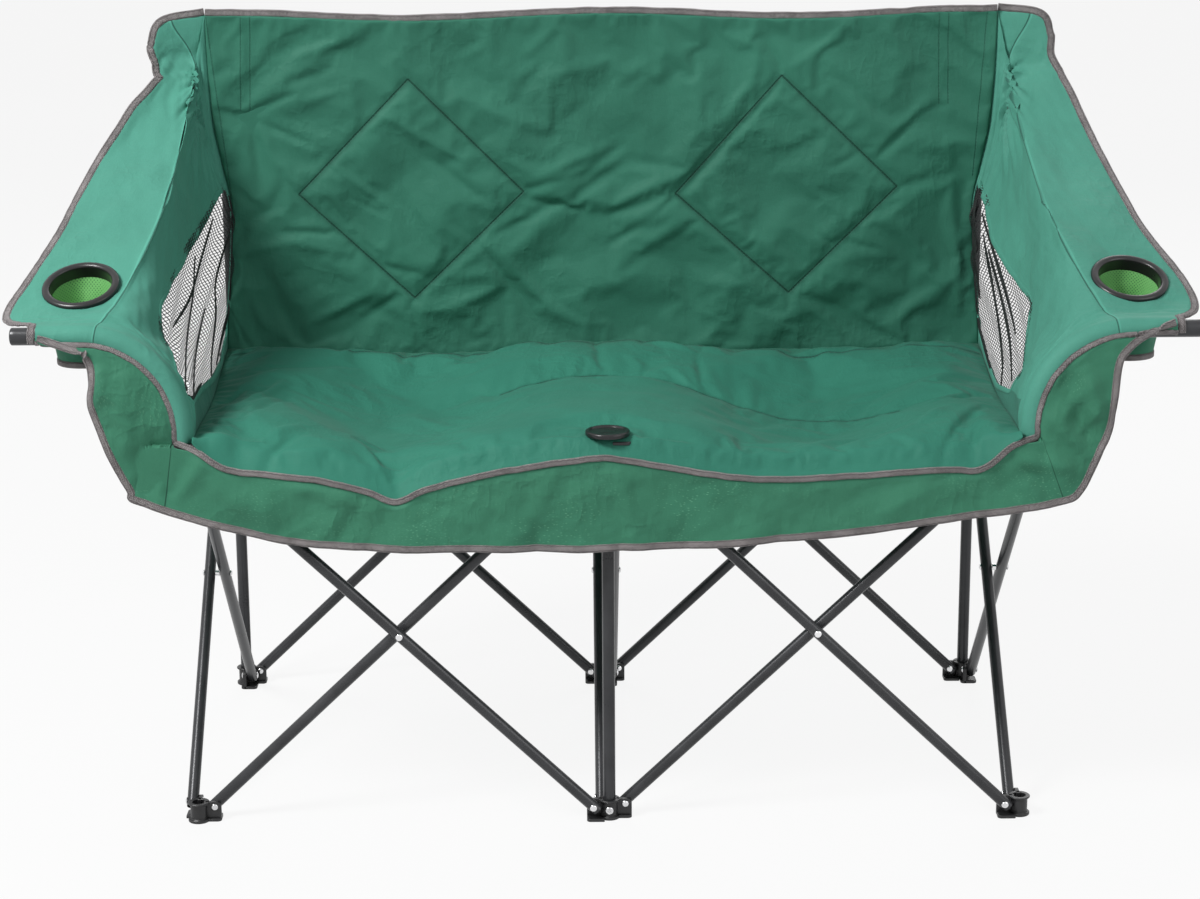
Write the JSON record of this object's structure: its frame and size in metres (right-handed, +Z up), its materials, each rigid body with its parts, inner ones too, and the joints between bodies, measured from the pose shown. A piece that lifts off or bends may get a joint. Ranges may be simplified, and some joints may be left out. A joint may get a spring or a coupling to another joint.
{
  "type": "folding camping loveseat",
  "caption": "Folding two-place camping chair with a scissor frame of crossed tubes on moulded feet and hubs, padded seat and back, mesh-sided arms, cup holders and a front skirt.",
  "frame": {"origin": "on the floor, at the centre of the bounding box", "axes": "+X across the seat toward the right arm as seen from the front, +Y toward the back, +Z up"},
  "size_m": [1.505, 0.5838, 0.9936],
  "materials": {
    "moulding": "satin",
    "tube": "gloss",
    "rivet": "polished",
    "cloth": "matt",
    "skirt": "matt",
    "binding": "matt",
    "mesh": "matt",
    "pouch": "matt",
    "plastic": "gloss"
  },
  "bodies": {
    "foot_front_centre": {"foot_front_centre": "moulding", "prop_front_centre": "tube"},
    "tube_side_centre_rising": {"tube_side_centre_rising": "tube", "pivot_side_centre": "rivet"},
    "tube_side_centre_falling": {"tube_side_centre_falling": "tube"},
    "hub_rear_centre": {"hub_rear_centre": "moulding"},
    "foot_rear_centre": {"foot_rear_centre": "moulding", "back_pad": "cloth", "back_binding": "binding", "post_rear_centre": "tube", "pocket_rear_centre": "cloth"},
    "hub_front_centre": {"hub_front_centre": "moulding", "seat_pad": "cloth", "seat_cap": "plastic", "front_piping": "binding", "front_skirt": "skirt", "skirt_hem": "binding"},
    "tube_front_left_falling": {"tube_front_left_falling": "tube", "pivot_front_left": "rivet"},
    "hub_front_left": {"hub_front_left": "moulding", "arm_tube_left": "tube", "arm_panel_left": "cloth", "arm_mesh_left": "mesh", "cup_ring_left": "plastic", "cup_pouch_left": "pouch", "arm_binding_left": "binding"},
    "tube_side_left_falling": {"tube_side_left_falling": "tube", "pivot_side_left": "rivet"},
    "foot_rear_left": {"foot_rear_left": "moulding", "post_rear_left": "tube", "pocket_rear_left": "cloth"},
    "tube_front_right_rising": {"tube_front_right_rising": "tube", "pivot_front_right": "rivet"},
    "hub_front_right": {"hub_front_right": "moulding", "arm_tube_right": "tube", "arm_panel_right": "cloth", "arm_mesh_right": "mesh", "cup_ring_right": "plastic", "cup_pouch_right": "pouch", "arm_binding_right": "binding"},
    "tube_side_right_falling": {"tube_side_right_falling": "tube", "pivot_side_right": "rivet"},
    "foot_rear_right": {"foot_rear_right": "moulding", "post_rear_right": "tube", "pocket_rear_right": "cloth"},
    "tube_rear_left_rising": {"tube_rear_left_rising": "tube"},
    "tube_rear_right_falling": {"tube_rear_right_falling": "tube"},
    "tube_rear_left_falling": {"tube_rear_left_falling": "tube", "pivot_rear_left": "rivet"},
    "hub_rear_left": {"hub_rear_left": "moulding"},
    "tube_rear_right_rising": {"tube_rear_right_rising": "tube", "pivot_rear_right": "rivet"},
    "hub_rear_right": {"hub_rear_right": "moulding"},
    "tube_front_left_rising": {"tube_front_left_rising": "tube"},
    "foot_front_left": {"foot_front_left": "moulding"},
    "tube_front_right_falling": {"tube_front_right_falling": "tube"},
    "foot_front_right": {"foot_front_right": "moulding"},
    "tube_side_left_rising": {"tube_side_left_rising": "tube"},
    "tube_side_right_rising": {"tube_side_right_rising": "tube"}
  },
  "joints": [
    {"name": "fold", "type": "hinge", "parent": "foot_front_centre", "child": "tube_side_centre_rising", "pos_m": [0, -0.2375, 0.019], "axis": [1, 0, 0], "range_deg": [0, 40], "deforming": ["seat_pad", "back_pad", "arm_panel_left", "arm_panel_right", "arm_mesh_left", "arm_mesh_right", "front_skirt", "back_binding", "arm_binding_left", "arm_binding_right", "front_piping", "skirt_hem"]},
    {"name": "pivot_side_centre", "type": "hinge", "parent": "tube_side_centre_rising", "child": "tube_side_centre_falling", "pos_m": [0, 0.007, 0.2525], "axis": [-1, 0, 0], "range_deg": [0, 80]},
    {"name": "hub_rear_centre", "type": "hinge", "parent": "tube_side_centre_rising", "child": "hub_rear_centre", "pos_m": [0, 0.2515, 0.486], "axis": [-1, 0, 0], "range_deg": [0, 40]},
    {"name": "foot_rear_centre", "type": "hinge", "parent": "tube_side_centre_falling", "child": "foot_rear_centre", "pos_m": [0, 0.2515, 0.019], "axis": [1, 0, 0], "range_deg": [0, 40]},
    {"name": "hub_front_centre", "type": "hinge", "parent": "tube_side_centre_falling", "child": "hub_front_centre", "pos_m": [0, -0.2375, 0.486], "axis": [1, 0, 0], "range_deg": [0, 40]},
    {"name": "front_left_falling", "type": "hinge", "parent": "foot_front_centre", "child": "tube_front_left_falling", "pos_m": [-0.0205, -0.258, 0.019], "axis": [0, 1, 0], "range_deg": [0, 40]},
    {"name": "hub_front_left", "type": "hinge", "parent": "tube_front_left_falling", "child": "hub_front_left", "pos_m": [-0.5095, -0.258, 0.486], "axis": [0, -1, 0], "range_deg": [0, 40]},
    {"name": "side_left_falling", "type": "hinge", "parent": "hub_front_left", "child": "tube_side_left_falling", "pos_m": [-0.53, -0.2375, 0.486], "axis": [-1, 0, 0], "range_deg": [0, 40]},
    {"name": "foot_rear_left", "type": "hinge", "parent": "tube_side_left_falling", "child": "foot_rear_left", "pos_m": [-0.53, 0.2515, 0.019], "axis": [1, 0, 0], "range_deg": [0, 40]},
    {"name": "front_right_rising", "type": "hinge", "parent": "foot_front_centre", "child": "tube_front_right_rising", "pos_m": [0.0205, -0.258, 0.019], "axis": [0, -1, 0], "range_deg": [0, 40]},
    {"name": "hub_front_right", "type": "hinge", "parent": "tube_front_right_rising", "child": "hub_front_right", "pos_m": [0.5095, -0.258, 0.486], "axis": [0, 1, 0], "range_deg": [0, 40]},
    {"name": "side_right_falling", "type": "hinge", "parent": "hub_front_right", "child": "tube_side_right_falling", "pos_m": [0.53, -0.2375, 0.486], "axis": [-1, 0, 0], "range_deg": [0, 40]},
    {"name": "foot_rear_right", "type": "hinge", "parent": "tube_side_right_falling", "child": "foot_rear_right", "pos_m": [0.53, 0.2515, 0.019], "axis": [1, 0, 0], "range_deg": [0, 40]},
    {"name": "rear_left_rising", "type": "hinge", "parent": "hub_rear_centre", "child": "tube_rear_left_rising", "pos_m": [-0.0205, 0.272, 0.486], "axis": [0, -1, 0], "range_deg": [0, 40]},
    {"name": "rear_right_falling", "type": "hinge", "parent": "hub_rear_centre", "child": "tube_rear_right_falling", "pos_m": [0.0205, 0.272, 0.486], "axis": [0, 1, 0], "range_deg": [0, 40]},
    {"name": "rear_left_falling", "type": "hinge", "parent": "foot_rear_centre", "child": "tube_rear_left_falling", "pos_m": [-0.0205, 0.272, 0.019], "axis": [0, 1, 0], "range_deg": [0, 40]},
    {"name": "hub_rear_left", "type": "hinge", "parent": "tube_rear_left_falling", "child": "hub_rear_left", "pos_m": [-0.5095, 0.272, 0.486], "axis": [0, -1, 0], "range_deg": [0, 40]},
    {"name": "rear_right_rising", "type": "hinge", "parent": "foot_rear_centre", "child": "tube_rear_right_rising", "pos_m": [0.0205, 0.272, 0.019], "axis": [0, -1, 0], "range_deg": [0, 40]},
    {"name": "hub_rear_right", "type": "hinge", "parent": "tube_rear_right_rising", "child": "hub_rear_right", "pos_m": [0.5095, 0.272, 0.486], "axis": [0, 1, 0], "range_deg": [0, 40]},
    {"name": "front_left_rising", "type": "hinge", "parent": "hub_front_centre", "child": "tube_front_left_rising", "pos_m": [-0.0205, -0.258, 0.486], "axis": [0, -1, 0], "range_deg": [0, 40]},
    {"name": "foot_front_left", "type": "hinge", "parent": "tube_front_left_rising", "child": "foot_front_left", "pos_m": [-0.5095, -0.258, 0.019], "axis": [0, 1, 0], "range_deg": [0, 40]},
    {"name": "front_right_falling", "type": "hinge", "parent": "hub_front_centre", "child": "tube_front_right_falling", "pos_m": [0.0205, -0.258, 0.486], "axis": [0, 1, 0], "range_deg": [0, 40]},
    {"name": "foot_front_right", "type": "hinge", "parent": "tube_front_right_falling", "child": "foot_front_right", "pos_m": [0.5095, -0.258, 0.019], "axis": [0, -1, 0], "range_deg": [0, 40]},
    {"name": "side_left_rising", "type": "hinge", "parent": "hub_rear_left", "child": "tube_side_left_rising", "pos_m": [-0.53, 0.2515, 0.486], "axis": [1, 0, 0], "range_deg": [0, 40]},
    {"name": "side_right_rising", "type": "hinge", "parent": "hub_rear_right", "child": "tube_side_right_rising", "pos_m": [0.53, 0.2515, 0.486], "axis": [1, 0, 0], "range_deg": [0, 40]}
  ],
  "couplings": [
    {"joint": "pivot_side_centre", "follows": "fold", "ratio": 2},
    {"joint": "hub_rear_centre", "follows": "fold", "ratio": 1},
    {"joint": "foot_rear_centre", "follows": "fold", "ratio": 1},
    {"joint": "hub_front_centre", "follows": "fold", "ratio": 1},
    {"joint": "front_left_falling", "follows": "fold", "ratio": 1},
    {"joint": "hub_front_left", "follows": "fold", "ratio": 1},
    {"joint": "side_left_falling", "follows": "fold", "ratio": 1},
    {"joint": "foot_rear_left", "follows": "fold", "ratio": 1},
    {"joint": "front_right_rising", "follows": "fold", "ratio": 1},
    {"joint": "hub_front_right", "follows": "fold", "ratio": 1},
    {"joint": "side_right_falling", "follows": "fold", "ratio": 1},
    {"joint": "foot_rear_right", "follows": "fold", "ratio": 1},
    {"joint": "rear_left_rising", "follows": "fold", "ratio": 1},
    {"joint": "rear_right_falling", "follows": "fold", "ratio": 1},
    {"joint": "rear_left_falling", "follows": "fold", "ratio": 1},
    {"joint": "hub_rear_left", "follows": "fold", "ratio": 1},
    {"joint": "rear_right_rising", "follows": "fold", "ratio": 1},
    {"joint": "hub_rear_right", "follows": "fold", "ratio": 1},
    {"joint": "front_left_rising", "follows": "fold", "ratio": 1},
    {"joint": "foot_front_left", "follows": "fold", "ratio": 1},
    {"joint": "front_right_falling", "follows": "fold", "ratio": 1},
    {"joint": "foot_front_right", "follows": "fold", "ratio": 1},
    {"joint": "side_left_rising", "follows": "fold", "ratio": 1},
    {"joint": "side_right_rising", "follows": "fold", "ratio": 1}
  ]
}
